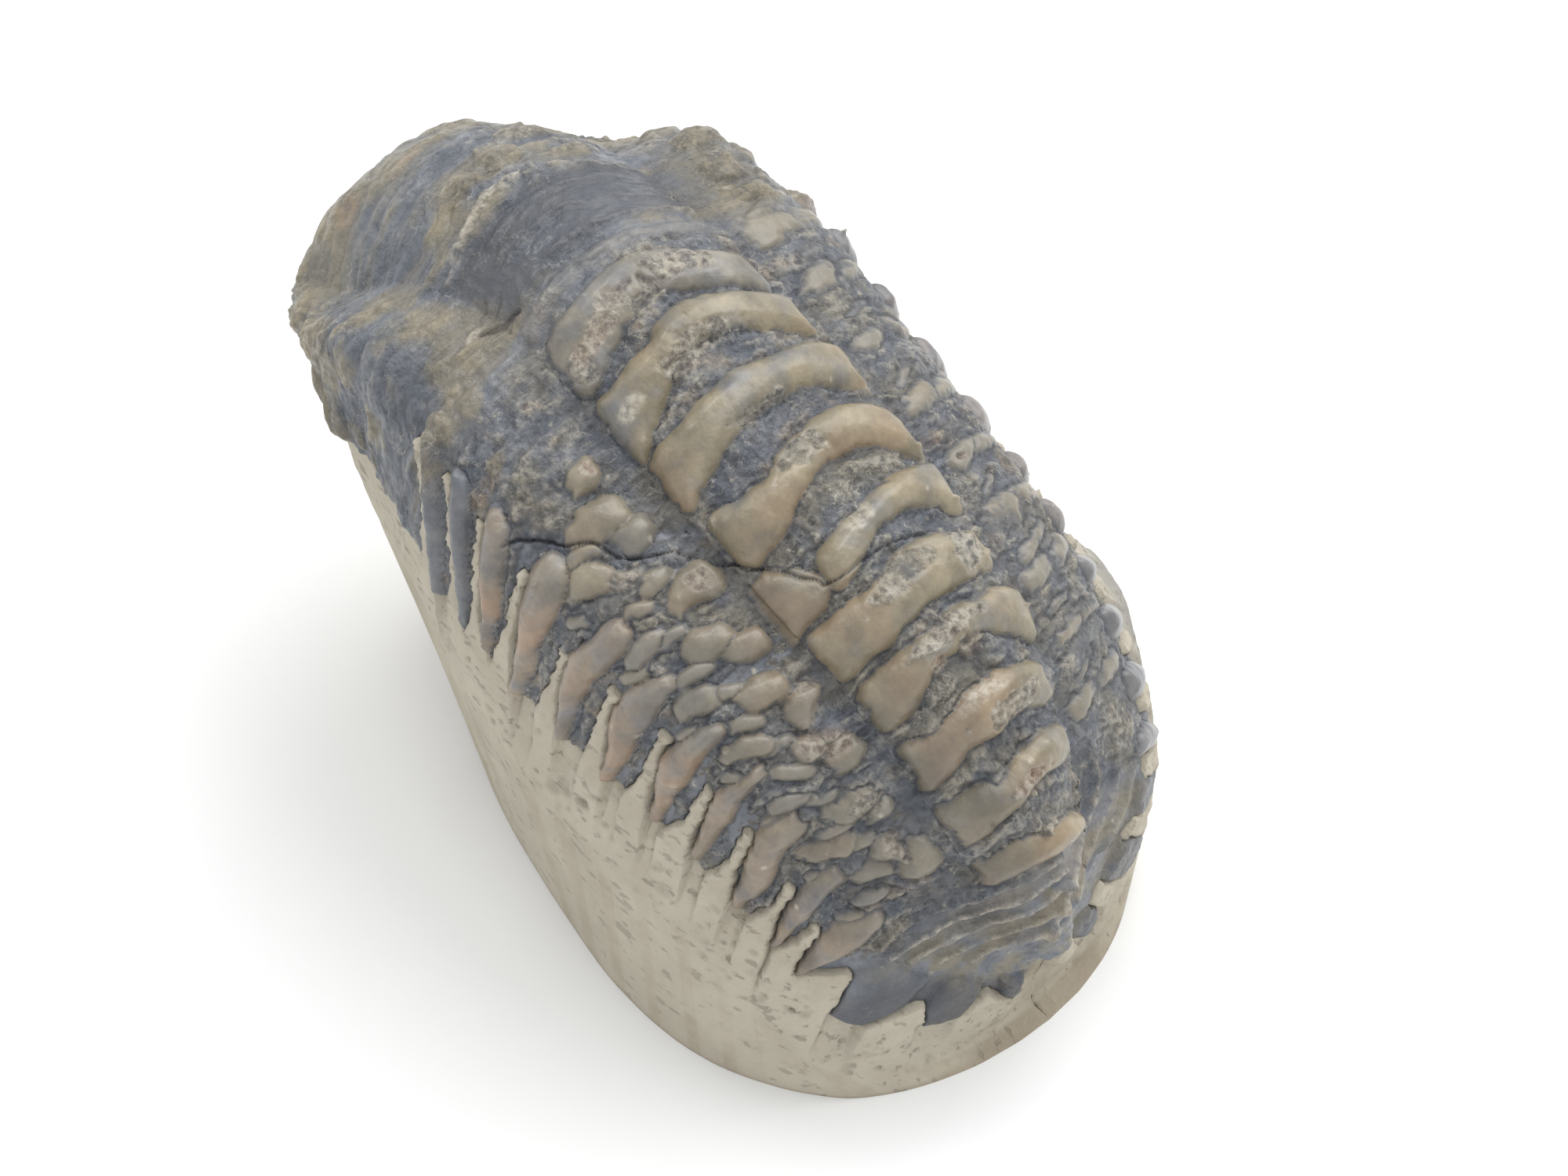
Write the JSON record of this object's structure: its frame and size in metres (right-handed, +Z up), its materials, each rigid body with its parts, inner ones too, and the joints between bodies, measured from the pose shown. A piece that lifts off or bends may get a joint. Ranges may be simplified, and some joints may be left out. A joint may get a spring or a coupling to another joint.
{
  "type": "fossil trilobite",
  "caption": "Ribbed trilobite fossil arched over a limestone block with a sawn flat foot, spines standing free of the rock along both flanks; for display or as set dressing.",
  "frame": {"origin": "centre of the bounding box, on the plane of the flat foot", "axes": "+X along the animal from head to tail, +Y toward the animal's right side, +Z up from the foot"},
  "size_m": [0.0669, 0.04, 0.0417],
  "materials": {
    "limestone": "matte, sanded",
    "fossil_shell": "waxed, half gloss"
  },
  "bodies": {
    "root": {"matrix": "limestone", "trilobite": "fossil_shell"}
  },
  "joints": []
}
